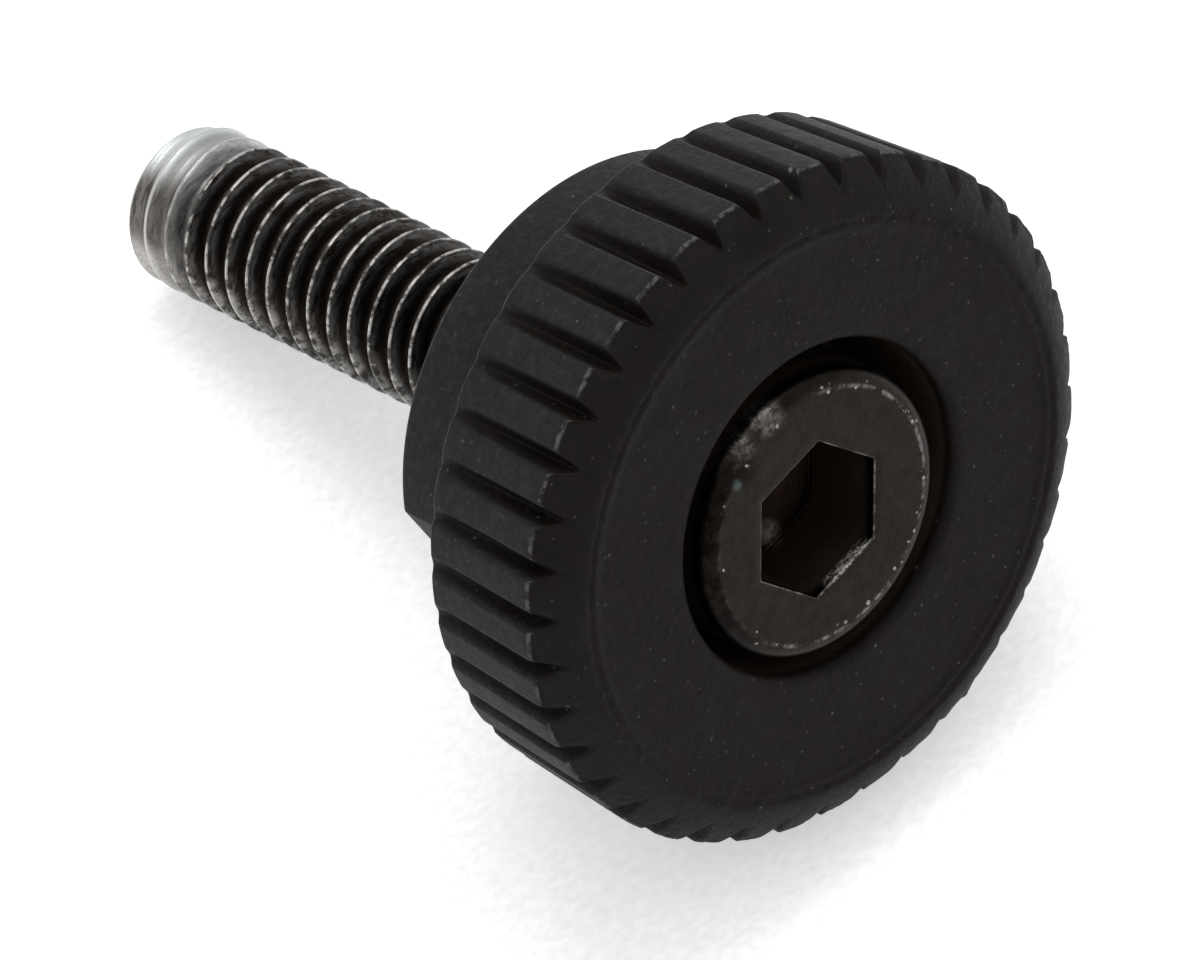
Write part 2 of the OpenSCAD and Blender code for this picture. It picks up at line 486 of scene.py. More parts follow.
# %% Sizes of the screw's head, in mm
HEAD_TOP = FACE_Z - 0.15
HEAD_R, HEAD_EDGE = 3.5, 0.42
SOCKET_HALF, SOCKET_DEPTH, DRILL_POINT = 1.7, 2.2, 0.65
SOCKET_FLOOR = HEAD_TOP + SOCKET_DEPTH
SOCKET_TURN = math.radians(90 - 38)
SOCKET_OFF, SOCKET_OFF_TURN = 0.12, math.radians(168)
SOCKET_SHIFTS_TO, SOCKET_SHIFT_FADE = 2.9, 0.9  # radius at which the shift has died out
NECK_R = 1.75
DENT_TURN, DENT_WIDE, DENT_DEEP = math.radians(240), math.radians(4.2), 0.2
DENT_IN, DENT_BACK, DENT_SIZE = 0.25, 0.1, 0.3
DENT_INWARD = 0.7  # of its depth: how far the dent also goes in towards the axis
COLUMNS = 6 * 22

# %% Walk from the socket to the neck
screw_angles = SOCKET_TURN + 2 * math.pi * np.arange(COLUMNS) / COLUMNS
from_corner = (screw_angles - SOCKET_TURN) % (math.pi / 3)
hex_r = SOCKET_HALF / np.cos(from_corner - math.pi / 6)

head = Profile(screw_angles)
head.to(0, SOCKET_FLOOR + DRILL_POINT, sub=3)
head.to(SOCKET_HALF * 0.96, SOCKET_FLOOR, cut=0.05, steps=1, sub=1)
head.to(hex_r, SOCKET_FLOOR, cut=0.04, steps=2, sub=6)
head.to(hex_r, HEAD_TOP, cut=0.06, steps=3, sub=6, edge=1.0)
head.to(HEAD_R, HEAD_TOP, cut=HEAD_EDGE, steps=10, sub=8, edge=1.0)
head.to(HEAD_R, SEAT_Z, cut=0.1, steps=2, sub=4)
head.to(NECK_R, SEAT_Z, cut=0.1, steps=2, sub=4)
head.to(NECK_R, thread_z0)
head_r, head_z, head_edge = head.rows(closed=False)

from_dent = (screw_angles - DENT_TURN + math.pi) % (2 * math.pi) - math.pi
dent = DENT_DEEP * hump(from_dent, 0, DENT_WIDE)
dent = dent * hump(head_r, HEAD_R - DENT_IN, DENT_SIZE) * hump(head_z, HEAD_TOP + DENT_BACK, DENT_SIZE)
head_r = head_r - DENT_INWARD * dent
head_z = head_z + dent
print("head rows:", len(head_r), " dent, mm:", round(float(dent.max()), 2))

# %% [markdown]
# ## The screw: thread
#
# The thread is right-hand, with 0.7 mm from crest to crest: flanks at about 30
# degrees, a flat crest a fourteenth of the pitch wide and a rounded root. It
# could be drawn with a bump map, but the outline of the shank would stay
# straight. Here the grid's rows climb with the helix, so that one row runs
# along the crest all the way and the crest stays crisp.
#
# The first turns at the tip come from the mouth of the rolling die, so they
# are shallow and smooth. At both ends the helix has to stop in a flat ring:
# rows that would run past an end are held there, and where several rows of
# points fall together they are merged into one.

# %% Sizes of the thread, in mm
PITCH = 0.7
THREAD_DEPTH = 0.39
CREST_HALF = 1 / 28  # of the pitch: half the flat on a crest
ROOT_HALF = 1 / 10  # of the pitch: half the root
ROOT_ROUND = 0.3  # 0 is a straight flank down to a sharp root, 1 is a wave
ROWS_PER_TURN = 20
CREST_PHASE = 0.4397
RUN_OUT = 0.9
SHALLOW_FROM, SHALLOW_TO, SHALLOW_DEPTH = 2.1, 0.7, 0.5  # distances from the tip, share of the depth
TIP_R, TIP_Z = 1.675, thread_z1 + 0.35
TAPER_LENGTH, TAPER_POWER = 0.45, 1.6
HELD_WITHIN = 0.01  # rows nearer than this to an end are held at it
MERGED_WITHIN = 0.0005

# %% Rows that climb with the helix


def thread_cut(f):
    """Depth below the crest, 0 to 1, at the fraction f of a pitch from the middle of a crest."""
    f = np.abs((f + 0.5) % 1 - 0.5)
    flank = np.clip((f - CREST_HALF) / (0.5 - CREST_HALF - ROOT_HALF), 0, 1)
    return flank * (1 - ROOT_ROUND) + smooth(flank) * ROOT_ROUND


turns = screw_angles / (2 * math.pi)
first_turn = math.floor((thread_z0 / PITCH) - turns.max()) - 1
last_turn = math.ceil((TIP_Z / PITCH) - turns.min()) + 1
crest_rows = [-CREST_HALF, -CREST_HALF / 2, CREST_HALF / 2, CREST_HALF]
flank_rows = np.linspace(CREST_HALF, 1 - CREST_HALF, ROWS_PER_TURN - 2)[1:-1]
marks = np.sort(np.concatenate([crest_rows, flank_rows]) % 1)
offsets = np.concatenate([k + marks for k in range(first_turn, last_turn)])
raw_z = PITCH * (offsets[:, None] + turns[None, :] + CREST_PHASE)
raw_z = np.where(raw_z < thread_z0 + HELD_WITHIN, thread_z0, raw_z)
raw_z = np.where(raw_z > TIP_Z - HELD_WITHIN, TIP_Z, raw_z)
inside = np.flatnonzero(np.any(raw_z > thread_z0, axis=1) & np.any(raw_z < TIP_Z, axis=1))
rows_z = raw_z[inside[0] - 1 : inside[-1] + 2]  # and one flat ring at each end
print("thread rows:", len(rows_z))

# %% Radius of every row, and where it is crest or flank
STRIP_FROM, STRIP_HALF = 0.13, 0.11  # of the pitch: a strip on the flank that faces the head

of_pitch = rows_z / PITCH - turns[None, :] - CREST_PHASE
cut = thread_cut(of_pitch)
from_tip = TIP_Z - rows_z
deepening = smooth((from_tip - SHALLOW_TO) / (SHALLOW_FROM - SHALLOW_TO))
full = SHALLOW_DEPTH + (1 - SHALLOW_DEPTH) * deepening
grown = smooth((rows_z - thread_z0) / RUN_OUT)
rows_r = NECK_R + (thread_r - THREAD_DEPTH * cut * full - NECK_R) * grown
taper = np.clip(1 - from_tip / TAPER_LENGTH, 0, 1)
rows_r = np.minimum(rows_r, thread_r - (thread_r - TIP_R) * taper**TAPER_POWER)
crest = (1 - cut) * grown
from_crest = (of_pitch + 0.5) % 1 - 0.5
strip = np.clip(1 - np.abs(from_crest + STRIP_FROM) / STRIP_HALF, 0, 1) * grown
print(f"root radius {rows_r.min():.2f} mm, crest radius {rows_r.max():.2f} mm")

# %% [markdown]
# The end of the shank is flat, a little hollow in the middle where the blank
# was cut off, and closes in one point.

# %% Make the screw
END_ROWS = [(0.96, 0.03), (0.8, 0.035), (0.5, 0.02), (0.2, 0.0), (0.0, 0.0)]  # share of the radius, height
end_r = np.array([rows_r[-1] * share for share, _ in END_ROWS])
end_z = np.array([0 * rows_z[-1] + TIP_Z + out for _, out in END_ROWS])
shank_r, shank_z = np.vstack([rows_r, end_r]), np.vstack([rows_z, end_z])
crest, strip = np.vstack([crest, 0 * end_r]), np.vstack([strip, 0 * end_r])

head_layers = {"edge": head_edge, "crest": 0 * head_edge, "strip": 0 * head_edge}
shank_layers = {"edge": 0 * crest, "crest": crest, "strip": strip}
bm = new_mesh(head_layers)
head_verts = add_grid(bm, head_r, head_z, screw_angles, head_layers)
off_x, off_y = SOCKET_OFF * math.cos(SOCKET_OFF_TURN), SOCKET_OFF * math.sin(SOCKET_OFF_TURN)
for row, radii in zip(head_verts, head_r):
    for vert, radius in zip(row, radii):
        is_socket = vert.co.z < SEAT_Z - 0.5  # the neck has small radii too, but it stays
        share = float(smooth((SOCKET_SHIFTS_TO - radius) / SOCKET_SHIFT_FADE)) * is_socket
        vert.co.x, vert.co.y = vert.co.x + off_x * share, vert.co.y + off_y * share
add_grid(bm, shank_r, shank_z, screw_angles, shank_layers)
bmesh.ops.remove_doubles(bm, verts=bm.verts, dist=MERGED_WITHIN)
screw = finish_piece(bm, "cap_screw", "screw")

# %% [markdown]
# ## Colours and shader nodes
#
# Colours are written as sRGB hex, as paint charts give them, and one function
# turns them into the linear numbers that Blender wants. One more function adds
# any node. Its settings come first, because they decide which sockets the node
# has in use. Its inputs follow in the order in which Blender shows them, or by
# name.
#
# A mask is a value from 0 to 1 over the surface that says where something is.
# Masks are made from the distance to the axis, the height along it, the turn
# about it and from noise, and then joined.

# %% Helpers for colours and nodes
SOFT = {"interpolation_type": "SMOOTHSTEP"}  # for Map Range: from one value to another, with soft ends
TIMES, PLUS, LESS, LARGER = ({"operation": name} for name in ("MULTIPLY", "ADD", "SUBTRACT", "MAXIMUM"))
COLOURS, NUMBERS = {"data_type": "RGBA"}, {"data_type": "FLOAT"}  # for Mix


def linear(hex_colour):
    """sRGB hex such as #20242a to a linear RGBA tuple."""
    parts = [int(hex_colour[i : i + 2], 16) / 255 for i in (1, 3, 5)]
    return tuple(c / 12.92 if c <= 0.04045 else ((c + 0.055) / 1.055) ** 2.4 for c in parts) + (1.0,)


def add(tree, kind, settings=None, *inputs, out=None, **named):
    """Adds a node and returns one of its outputs: the one called out, or else the first in use.

    An input is a number, a vector, a hex colour or another node's output."""
    node = tree.nodes.new("ShaderNode" + kind)
    for key, value in (settings or {}).items():
        setattr(node, key, value)
    in_use = [socket for socket in node.inputs if socket.enabled]
    by_name = [(node.inputs[key.replace("_", " ")], value) for key, value in named.items()]
    for socket, value in [*zip(in_use, inputs), *by_name]:
        if isinstance(value, bpy.types.NodeSocket):
            tree.links.new(value, socket)
        else:
            socket.default_value = linear(value) if isinstance(value, str) else value
    if out:
        return node.outputs[out]
    return next((socket for socket in node.outputs if socket.enabled), None)


def new_material(name):
    """An empty node material and its tree."""
    material = bpy.data.materials.new(name)
    material.use_nodes = True
    material.node_tree.nodes.clear()
    return material, material.node_tree


def stored(tree, *names):
    """The numbers that were stored with the points, by the names of their layers."""
    return [add(tree, "Attribute", {"attribute_name": name}, out="Fac") for name in names]


def on_circle(turn_degrees, r, z):
    """A local place in mm from a turn about the axis, a radius and a height."""
    turn = math.radians(turn_degrees)
    return (r * math.cos(turn), r * math.sin(turn), z)


print("black plastic as written #130c0a, linear:", [round(c, 4) for c in linear("#130c0a")])

# %% Helpers for masks


def places(tree):
    """Every point's local place in mm, its distance from the axis and its height along it."""
    where = add(tree, "Attribute", {"attribute_name": "local"}, out="Vector")
    flat = add(tree, "VectorMath", TIMES, where, (1, 1, 0))
    radius = add(tree, "VectorMath", {"operation": "LENGTH"}, flat)
    return where, radius, add(tree, "SeparateXYZ", Vector=where, out="Z")


def join(tree, how, *masks):
    """Joins masks: TIMES leaves what all of them cover, LARGER what any of them covers."""
    joined = masks[0]
    for mask in masks[1:]:
        joined = add(tree, "Math", how, joined, mask)
    return joined


def band(tree, value, a, b, c, d):
    """A mask that rises from a to b, is 1 between b and c and falls from c to d."""
    rise, fall = (add(tree, "MapRange", SOFT, value, *ends) for ends in ((a, b), (d, c)))
    return join(tree, TIMES, rise, fall)


def spot(tree, where, place, reach, soft=0.5):
    """1 inside a ball round a local place in mm, fading to 0 at its reach."""
    gap = add(tree, "VectorMath", {"operation": "DISTANCE"}, where, place)
    return add(tree, "MapRange", SOFT, gap, reach, reach * (1 - soft))


def towards(tree, where, turn_degrees, low, high):
    """1 on the side of the part at that turn about the axis, where it is more than `high` mm out."""
    out = add(tree, "VectorMath", {"operation": "DOT_PRODUCT"}, where, on_circle(turn_degrees, 1, 0))
    return add(tree, "MapRange", SOFT, out, low, high)


def specks(tree, where, spacing, size, share):
    """Round grains: one possible grain in every cell of `spacing` mm, `share` of the cells have one."""
    cells = add(tree, "TexVoronoi", Vector=where, Scale=1 / spacing).node
    dice = add(tree, "SeparateColor", Color=cells.outputs["Color"]).node
    picked = add(tree, "MapRange", SOFT, dice.outputs["Red"], 1 - share, 1 - share * 0.8)
    reach = add(tree, "Math", TIMES, dice.outputs["Green"], size / spacing)
    near = add(tree, "Math", LESS, reach, cells.outputs["Distance"])
    return join(tree, TIMES, picked, add(tree, "MapRange", SOFT, near, 0.0, 0.25 * size / spacing))


# %% [markdown]
# ## Moulded nylon
#
# Black glass-filled nylon is matt and very dark, with a fine grain from the
# eroded mould and slow, faint blotches. The grain of a real mould is about
# 0.05 mm, too fine to show at this size, so it is drawn twice as coarse. What
# makes the plastic look real is what lies on it: pale dust grains, a greyer
# tone where hands have scuffed it, thin grey lines where the edges have rubbed
# and brown grime down in the recess. On the side of the knob that faces the
# light, a thin light line along the long sides of the ridges is a painted
# highlight.

# %% Patterns on the nylon: Scale is in waves per mm
knob_material, tree = new_material("moulded_nylon_black")
where, radius, height = places(tree)
# edge holds the rubbed edges and the painted highlight along the ridges' sides
edge, touched = stored(tree, "edge", "handled")

blotch = add(tree, "TexNoise", Vector=where, Scale=0.55, Detail=3.0, Roughness=0.55)  # 1.8 mm wide
tint = add(tree, "TexNoise", Vector=where, Scale=1.7, Detail=2.0, Roughness=0.55)  # 0.6 mm
tint = add(tree, "MapRange", SOFT, tint, 0.42, 0.58)
slow = add(tree, "TexNoise", Vector=where, Scale=1.6, Detail=2.0, Roughness=0.55)  # 0.6 mm, sink marks
mottle = add(tree, "TexNoise", Vector=where, Scale=3.8, Detail=5.0, Roughness=0.7)  # 0.26 mm
scuff = add(tree, "TexNoise", Vector=where, Scale=5.0, Detail=4.0, Roughness=0.7)  # 0.2 mm
grain = add(tree, "TexNoise", Vector=where, Scale=9.0, Detail=3.0, Roughness=0.6)  # 0.11 mm
print("patterns on the nylon:", sum(node.type == "TEX_NOISE" for node in tree.nodes))

# %% Colour of the nylon, from the bare plastic outwards
GRIME_FROM, GRIME_FULL = FACE_Z + 0.25, FACE_Z + 0.45  # down in the recess
GRIME_ENDS, GRIME_GONE = -1.0, -0.6  # and not on the hub's back
GRIME_R, GRIME_R_FADE = 4.2, 4.3

blotched = add(tree, "MapRange", SOFT, blotch, 0.35, 0.65)
plastic = add(tree, "Mix", COLOURS, tint, "#100c08", "#130c0a")
plastic = add(tree, "Mix", COLOURS, join(tree, TIMES, blotched, 0.3), plastic, "#1d1b18")

scuffed = join(tree, TIMES, touched, add(tree, "MapRange", SOFT, scuff, 0.3, 0.6, 0.5, 1.0))
grey = add(tree, "Mix", COLOURS, tint, "#1f1f1e", "#211f22")
plastic = add(tree, "Mix", COLOURS, scuffed, plastic, grey)
chalk = join(tree, TIMES, touched, add(tree, "MapRange", SOFT, mottle, 0.42, 0.72, 0.0, 0.07))
plastic = add(tree, "Mix", COLOURS, chalk, plastic, "#77746f")

# Light grey on the rubbed edges, and the painted highlight along the ridges' sides
rub_and_highlight = join(tree, TIMES, add(tree, "MapRange", SOFT, edge, 0.3, 0.9),
           add(tree, "MapRange", SOFT, scuff, 0.42, 0.6, 0.12, 1.0), 0.34)
plastic = add(tree, "Mix", COLOURS, rub_and_highlight, plastic, "#8d8986")

in_recess = add(tree, "MapRange", SOFT, radius, GRIME_R_FADE, GRIME_R)
grime = join(tree, TIMES, in_recess, band(tree, height, GRIME_FROM, GRIME_FULL, GRIME_ENDS, GRIME_GONE))
plastic = add(tree, "Mix", COLOURS, grime, plastic, "#372a22")
print("nodes of the nylon so far:", len(tree.nodes))

# %% Dust on the nylon: spacing and size of the grains in mm, their share, strength and colour
DUST = [
    (0.22, 0.05, 0.5, 0.12, "#8f8b86"),
    (0.36, 0.05, 0.6, 0.25, "#8b8b83"),
    (1.1, 0.075, 0.6, 0.45, "#8f8b86"),
]
for spacing, size, share, strength, colour in DUST:
    dust = join(tree, TIMES, specks(tree, where, spacing, size, share), strength)
    plastic = add(tree, "Mix", COLOURS, dust, plastic, colour)
print("sizes of dust:", len(DUST))

# %% Surface of the nylon: the eroded, dusty skin reflects a fifth of what a clean one does
surface = add(tree, "Bump", Height=grain, Distance=0.012 * MM, Strength=1.0)
surface = add(tree, "Bump", Height=slow, Distance=0.02 * MM, Strength=1.0, Normal=surface)
surface = add(tree, "Bump", Height=mottle, Distance=0.035 * MM, Strength=1.0, Normal=surface)
roughness = add(tree, "MapRange", SOFT, scuff, 0.3, 0.7, 0.5, 0.62)
nylon = add(tree, "BsdfPrincipled", Base_Color=plastic, Roughness=roughness, IOR=1.5, Specular_IOR_Level=0.1,
            Normal=surface)
add(tree, "OutputMaterial", Surface=nylon)
knob.data.materials.append(knob_material)
print(knob_material.name, "has", len(tree.nodes), "nodes")

# %% [markdown]
# ## Blackened steel
#
# The screw is steel with a black oxide skin, brown-black and satin. The skin
# is thin, so bare metal shows wherever something rubs. On the shank that is
# the flat crests of the thread, broken into dashes, and the smooth first turns
# at the tip. Those turns carry a painted reflection on two sides, with dull
# metal between them. On one side of the shank, near its outline, the crests and
# flanks are painted lighter: a painted reflection of the white bench.

# %% Patterns on the steel: Scale is in waves per mm
screw_material, tree = new_material("black_oxide_steel")
where, radius, height = places(tree)
edge, crest_at, strip_at = stored(tree, "edge", "crest", "strip")

stretched = add(tree, "Mapping", Vector=where, Scale=(1, 1, 7))  # turning marks, seven times as long as wide
streak = add(tree, "TexNoise", Vector=stretched, Scale=1.6, Detail=4.0, Roughness=0.7)  # 0.6 by 0.09 mm
scratchy = add(tree, "TexNoise", Vector=where, Scale=3.2, Detail=5.0, Roughness=0.7)  # 0.3 mm
fleck = add(tree, "TexNoise", Vector=where, Scale=12.0, Detail=3.0, Roughness=0.7)  # 0.08 mm
print("patterns on the steel:", sum(node.type == "TEX_NOISE" for node in tree.nodes))

# %% Masks of the shank
REFLECTION_SIDE, UNDER_REFLECTION_SIDE = 292, 158  # degrees: the two sides of the tip where a reflection is painted
LOW_SIDE, SMEARED_SIDE = 163, 215  # degrees; on LOW_SIDE a reflection of the bench is painted on the thread
TIP_WORN_FROM, TIP_WORN_FULL = TIP_Z - 2.2, TIP_Z - 1.1
TIP_RAGGED = 1.3  # mm: how far the border of the worn tip wanders

crest_wear = join(tree, TIMES, add(tree, "MapRange", SOFT, crest_at, 0.9, 0.99),
                  add(tree, "MapRange", SOFT, scratchy, 0.42, 0.58, 0.12, 1.0))
# Painted reflection of the white bench: crests and flanks on the low side are lighter
low_side_reflection = join(tree, TIMES, towards(tree, where, LOW_SIDE, 1.4, 1.85),
                add(tree, "MapRange", SOFT, crest_at, 0.35, 0.9),
                add(tree, "MapRange", SOFT, height, 0.2, 0.6),
                add(tree, "MapRange", SOFT, scratchy, 0.4, 0.62, 0.05, 0.6))
strip_wear = join(tree, TIMES, strip_at, add(tree, "MapRange", SOFT, streak, 0.38, 0.62, 0.0, 0.22))
smear = join(tree, TIMES, band(tree, height, 0.2, 0.4, 0.8, 3.0),
             towards(tree, where, SMEARED_SIDE, 0.9, 1.7),
             add(tree, "MapRange", SOFT, streak, 0.52, 0.68, 0.0, 0.35))
ragged = join(tree, TIMES, add(tree, "Math", LESS, streak, 0.5), TIP_RAGGED)
tip_wear = add(tree, "MapRange", SOFT, join(tree, PLUS, height, ragged), TIP_WORN_FROM, TIP_WORN_FULL)
# Painted reflection: the two sides of the tip, near the shank's outline, that catch it
tip_reflection_sides = join(tree, LARGER, towards(tree, where, REFLECTION_SIDE, 0.9, 1.45),
                 towards(tree, where, UNDER_REFLECTION_SIDE, 1.35, 1.7))
print("nodes of the steel so far:", len(tree.nodes))

# %% [markdown]
# The head shows more kinds of wear. A thin line with rubbed dots in it runs
# where the flat top turns over into the rim. The line is partly rubbed metal
# and partly a painted highlight, brightest towards two sides. One side of the
# rim was knocked, and on the other side the rim is painted dark: painted shade.
# The hexagon's edges are bare, most of all where a key has slipped, and that
# key has left marks inside the socket, whose walls and floor are brown with old
# oil and dirt.

# %% Masks of the head
ON_RIM = HEAD_TOP + 0.2
KNOCKS = [(on_circle(263, 3.4, ON_RIM), 0.62), (on_circle(249, 3.4, ON_RIM), 0.5)]  # place and reach
KEY_ON_EDGE, KEY_ON_EDGE_REACH = on_circle(84, 1.85, HEAD_TOP), 0.75
KEY_ON_WALL, KEY_ON_WALL_REACH = on_circle(82, 1.72, HEAD_TOP + 0.12), 0.86
KEY_BELOW, KEY_BELOW_REACH = on_circle(94, 1.46, SOCKET_FLOOR), 0.4
GLINT, GLINT_REACH = on_circle(234, 3.0, HEAD_TOP), 0.19
HIGHLIGHT_SIDE, OTHER_HIGHLIGHT_SIDE, SHADED_SIDE = 65, 330, 196  # degrees: the rim line's painted highlight is brightest towards the first two, painted shade lies towards the third

on_head = add(tree, "MapRange", SOFT, height, HEAD_TOP + 0.35, ON_RIM)
# Rim line: faint rubbed metal all round, and a painted highlight that is strongest towards two sides
rim_line_and_highlight = join(tree, TIMES, band(tree, radius, 3.04, 3.12, 3.13, 3.2),
            add(tree, "MapRange", SOFT, scratchy, 0.42, 0.62, 0.0, 0.3),
            join(tree, LARGER, towards(tree, where, HIGHLIGHT_SIDE, 0.2, 1.2),
                 towards(tree, where, OTHER_HIGHLIGHT_SIDE, 2.0, 2.9), 0.12))
dots = join(tree, TIMES, band(tree, radius, 2.9, 3.0, 3.2, 3.3), specks(tree, where, 0.12, 0.07, 0.22), 0.55)
hex_worn = join(tree, TIMES, add(tree, "MapRange", SOFT, radius, 2.4, 2.2),
                add(tree, "MapRange", SOFT, edge, 0.3, 0.8),
                add(tree, "MapRange", SOFT, scratchy, 0.42, 0.62, 0.04, 0.3))
hex_bright = join(tree, TIMES, add(tree, "MapRange", SOFT, edge, 0.02, 0.3),
                  spot(tree, where, KEY_ON_EDGE, KEY_ON_EDGE_REACH),
                  add(tree, "MapRange", SOFT, fleck, 0.44, 0.6, 0.05, 0.6))
# Wear of the head, with the painted highlight of the rim line
head_wear_and_highlight = join(tree, TIMES, on_head, join(tree, LARGER, rim_line_and_highlight, dots, hex_worn, hex_bright))

crumbly = add(tree, "TexNoise", Vector=where, Scale=6.0, Detail=4.0, Roughness=0.7)
knocks = [spot(tree, where, place, reach, 0.8) for place, reach in KNOCKS]
knocked = join(tree, TIMES, join(tree, LARGER, *knocks),
               add(tree, "MapRange", SOFT, crumbly, 0.4, 0.64, 0.15, 0.85))
glint = join(tree, TIMES, spot(tree, where, GLINT, GLINT_REACH, 0.9), 0.3)
# Painted shade: the rim is darkened on the side where shade falls
painted_shade_rim = join(tree, TIMES, on_head, add(tree, "MapRange", SOFT, radius, 3.06, 3.16),
                towards(tree, where, SHADED_SIDE, 1.6, 3.0),
                add(tree, "MapRange", SOFT, scratchy, 0.4, 0.6, 0.9, 0.5))
print("nodes of the steel so far:", len(tree.nodes))

# %% Masks of the socket and of the head's side
in_socket = join(tree, TIMES, add(tree, "MapRange", SOFT, radius, 2.1, 2.0),
                 band(tree, height, HEAD_TOP + 0.12, HEAD_TOP + 0.5, -1.2, -1.0))
under_rim = join(tree, TIMES, add(tree, "MapRange", SOFT, radius, 3.3, 3.4),
                 add(tree, "MapRange", SOFT, height, HEAD_TOP + 0.35, HEAD_TOP + 0.8))
soiled = join(tree, LARGER, in_socket, under_rim)
at_floor = add(tree, "MapRange", SOFT, height, SOCKET_FLOOR - 0.1, SOCKET_FLOOR - 0.02)
key_below = join(tree, TIMES, soiled, spot(tree, where, KEY_BELOW, KEY_BELOW_REACH, 0.9),
                 add(tree, "MapRange", SOFT, scratchy, 0.35, 0.6, 0.2, 0.8), 0.9)
key_on_wall = join(tree, TIMES, spot(tree, where, KEY_ON_WALL, KEY_ON_WALL_REACH, 0.35),
                   band(tree, height, HEAD_TOP + 0.01, HEAD_TOP + 0.04, HEAD_TOP + 0.2, HEAD_TOP + 0.34),
                   add(tree, "MapRange", SOFT, fleck, 0.4, 0.6, 0.1, 0.8))
# Wear, together with the painted reflections and the rim's painted highlight, all drawn in the bare-metal
# colours
wear_and_sheen = join(tree, LARGER, crest_wear, low_side_reflection, strip_wear, smear, tip_wear, head_wear_and_highlight)
print("nodes of the steel so far:", len(tree.nodes))

# %% Colours of the steel: the skin, the bare metal, the painted reflections, highlight and shade, and the dirt
skin = add(tree, "Mix", COLOURS, add(tree, "MapRange", SOFT, scratchy, 0.35, 0.65), "#1e1a16", "#25211e")
bare_metal_and_sheen = add(tree, "Mix", COLOURS, add(tree, "MapRange", SOFT, fleck, 0.35, 0.65), "#a8a5a2", "#bfbdbb")
dull = add(tree, "Mix", COLOURS, add(tree, "MapRange", SOFT, streak, 0.4, 0.6), "#55524e", "#827f7b")
wall_dirt = add(tree, "Mix", COLOURS, scratchy, "#0f0b08", "#33281f")
floor_dirt = add(tree, "Mix", COLOURS, scratchy, "#0e0a08", "#2a2019")

# Painted reflections on two sides of the worn tip, and dull metal between them
tip_reflection = join(tree, TIMES, tip_wear, towards(tree, where, REFLECTION_SIDE, 0.9, 1.6))
tip_between_reflections = join(tree, TIMES, tip_wear, add(tree, "Math", LESS, 1.0, tip_reflection_sides))
on_crest = join(tree, TIMES, tip_wear, add(tree, "MapRange", SOFT, crest_at, 0.9, 0.985))
in_root = join(tree, TIMES, tip_wear, add(tree, "MapRange", SOFT, crest_at, 0.9, 0.4, 0.0, 0.45),
               add(tree, "MapRange", SOFT, height, TIP_Z - 0.5, TIP_Z - 0.7))
for mask, colour in ((tip_reflection, "#ccd0d0"), (tip_between_reflections, dull), (on_crest, "#c4c3c1"), (in_root, "#64615d")):
    bare_metal_and_sheen = add(tree, "Mix", COLOURS, mask, bare_metal_and_sheen, colour)

steel = skin
# 0c0908 paints shade on one side of the rim; the other colours are wear, dirt and a painted glint
for mask, colour in ((wear_and_sheen, bare_metal_and_sheen), (knocked, "#787570"), (glint, "#728086"), (painted_shade_rim, "#0c0908"),
                     (soiled, add(tree, "Mix", COLOURS, at_floor, wall_dirt, floor_dirt)),
                     (key_below, "#8f877e"), (key_on_wall, "#a39e98")):
    steel = add(tree, "Mix", COLOURS, mask, steel, colour)
print("nodes of the steel so far:", len(tree.nodes))

# %% Surface of the steel: satin, with the default IOR of a metal
# Bare metal, with the painted reflections and highlight that share its mask, is a little rougher than the
# skin, the worn tip is the roughest, and dirt is no metal.
surface = add(tree, "Bump", Height=fleck, Distance=0.006 * MM, Strength=1.0)
surface = add(tree, "Bump", Height=streak, Distance=0.012 * MM, Strength=1.0, Normal=surface)
dirt = join(tree, LARGER, join(tree, TIMES, soiled, add(tree, "Math", LESS, 1.0, at_floor)), key_on_wall)
roughness = add(tree, "Mix", NUMBERS, join(tree, LARGER, wear_and_sheen, knocked), 0.34, 0.42)
roughness = add(tree, "Mix", NUMBERS, tip_wear, roughness, 0.5)
metal = add(tree, "Math", LESS, 1.0, dirt)
oxide = add(tree, "BsdfPrincipled", Base_Color=steel, Metallic=metal, Roughness=roughness, Normal=surface)
add(tree, "OutputMaterial", Surface=oxide)
screw.data.materials.append(screw_material)
print(screw_material.name, "has", len(tree.nodes), "nodes")

# %% [markdown]
# ## Bench and light
#
# A sheet of white card lies under a wide pale sky, which is brightest overhead,
# and one large soft lamp hangs high behind the part, as for black goods in a
# shop: the black faces that look at the camera stay dark, and only the edges
# and the upper sides glint. The card is matt. Its fibres are a few hundredths
# of a millimetre wide, too fine to show, so they are drawn ten times coarser.
#
# The card and the horizon are lifted to white for what the camera sees, also
# by way of a reflection or through glass, but not for what lights the part.
# So the background is white, and the part keeps its shadow and its depth.

# %% Floor
FLOOR_HALF = 1.5  # metres
CARD_GLOW = 0.4
FIBRE_TURN = math.radians(52)  # the card's fibres lie this way

floor_mesh = bpy.data.meshes.new("floor")
bm = bmesh.new()
bmesh.ops.create_grid(bm, x_segments=1, y_segments=1, size=FLOOR_HALF)
bm.to_mesh(floor_mesh)
bm.free()
floor = bpy.data.objects.new("floor", floor_mesh)
bpy.context.scene.collection.objects.link(floor)
floor.location = (0, 0, cad_low.z)
print("floor at z, mm:", round(floor.location.z / MM, 3))

# %% Material of the floor


def seen_directly(tree):
    """1 for what the camera sees, also in a reflection or through glass; 0 for what lights the part."""
    rays = add(tree, "LightPath").node.outputs
    return join(tree, LARGER, rays["Is Camera Ray"], rays["Is Glossy Ray"], rays["Is Transmission Ray"])


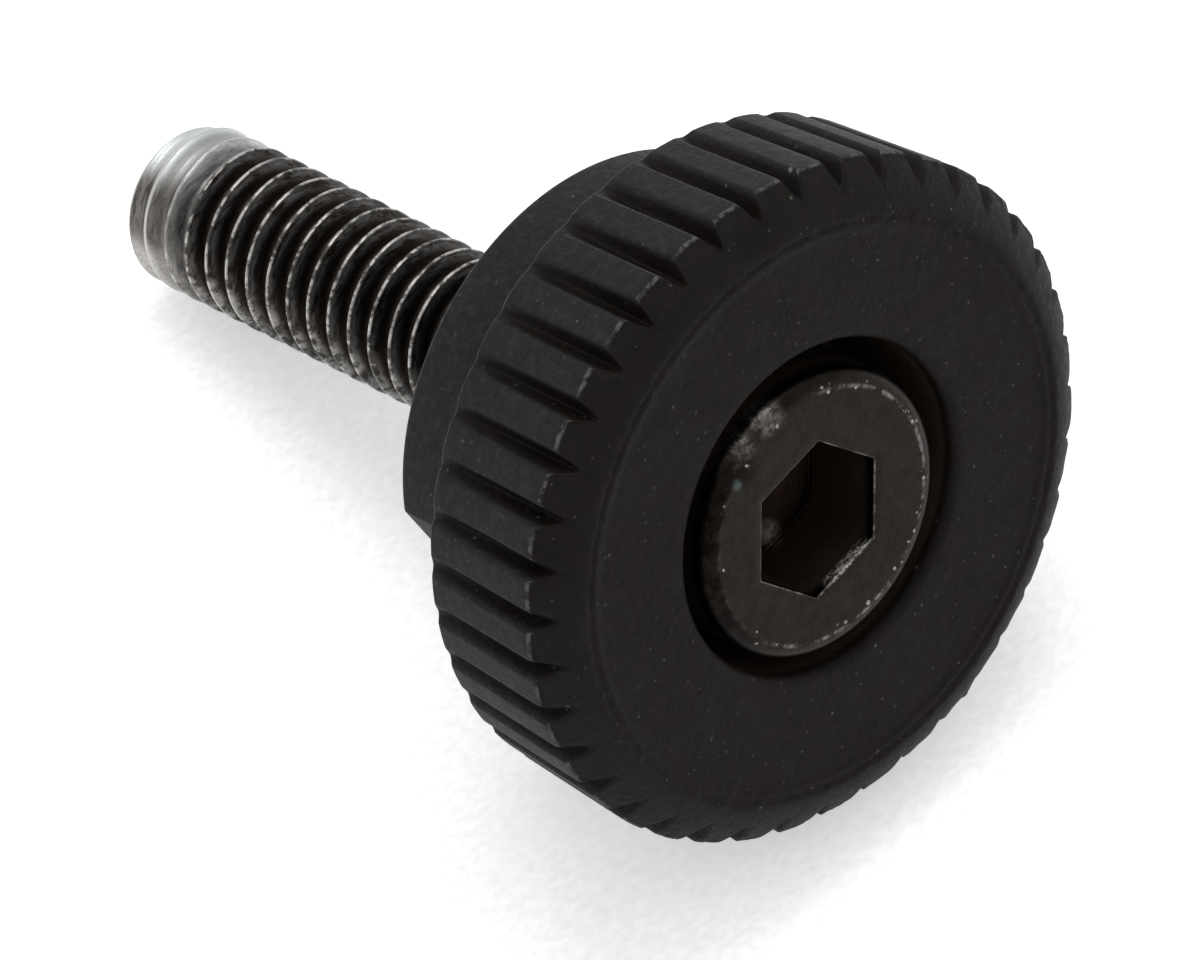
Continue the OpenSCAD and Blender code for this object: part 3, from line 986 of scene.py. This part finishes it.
floor_material, tree = new_material("white_card")
fibres = add(tree, "Mapping", Vector=add(tree, "TexCoord", out="Object"), Rotation=(0, 0, FIBRE_TURN),
             Scale=(1.0, 1.7, 1.0))
paper = add(tree, "TexNoise", Vector=fibres, Scale=3.2 / MM, Detail=3.0, Roughness=0.6)
white = add(tree, "Mix", COLOURS, add(tree, "MapRange", SOFT, paper, 0.3, 0.7), "#e6e6e6", "#fafafa")
glow = add(tree, "Emission", Color=(1, 1, 1, 1), Strength=join(tree, TIMES, seen_directly(tree), CARD_GLOW))
card = add(tree, "AddShader", None, add(tree, "BsdfDiffuse", Color=white), glow)
add(tree, "OutputMaterial", Surface=card)
floor_mesh.materials.append(floor_material)
print(floor_material.name, "has", len(tree.nodes), "nodes")

# %% Sky
HORIZON_LIGHT, CEILING_LIGHT = 0.12, 0.8  # strength of the sky at the horizon and overhead
CEILING_FROM, CEILING_FULL = 0.1, 0.42  # heights on the sky, 0 at the horizon and 1 overhead
BACKDROP_TO, BACKDROP_GONE = 0.2, 0.3

world = bpy.data.worlds.new("studio")
bpy.context.scene.world = world
world.use_nodes = True
tree = world.node_tree
tree.nodes.clear()
above = add(tree, "SeparateXYZ", Vector=add(tree, "TexCoord", out="Generated"), out="Z")
ceiling = add(tree, "MapRange", SOFT, above, CEILING_FROM, CEILING_FULL, HORIZON_LIGHT, CEILING_LIGHT)
low_down = add(tree, "MapRange", SOFT, above, BACKDROP_GONE, BACKDROP_TO)
backdrop = join(tree, TIMES, seen_directly(tree), low_down)
sky = add(tree, "Background", Color=(1, 1, 1, 1), Strength=join(tree, LARGER, ceiling, backdrop))
add(tree, "OutputWorld", Surface=sky)
print("strength of the sky:", HORIZON_LIGHT, "at the horizon,", CEILING_LIGHT, "overhead")

# %% Lamp


def soft_box(name, turn, height, distance, wide, high, watts):
    """A rectangular lamp in a direction from the part, turned towards it. Sizes are in metres."""
    lamp = bpy.data.objects.new(name, bpy.data.lights.new(name, "AREA"))
    bpy.context.scene.collection.objects.link(lamp)
    lamp.data.shape = "RECTANGLE"
    lamp.data.size, lamp.data.size_y = wide, high
    lamp.data.energy = watts
    toward = direction(turn, height)
    lamp.matrix_world = Matrix.Translation(toward * distance) @ looking_at(toward)
    print(f"{name}: {watts} W at {distance} m")


soft_box("overhead", turn=54, height=68, distance=0.9, wide=0.5, high=0.5, watts=2.9)
bpy.context.scene.view_settings.view_transform = "Standard"
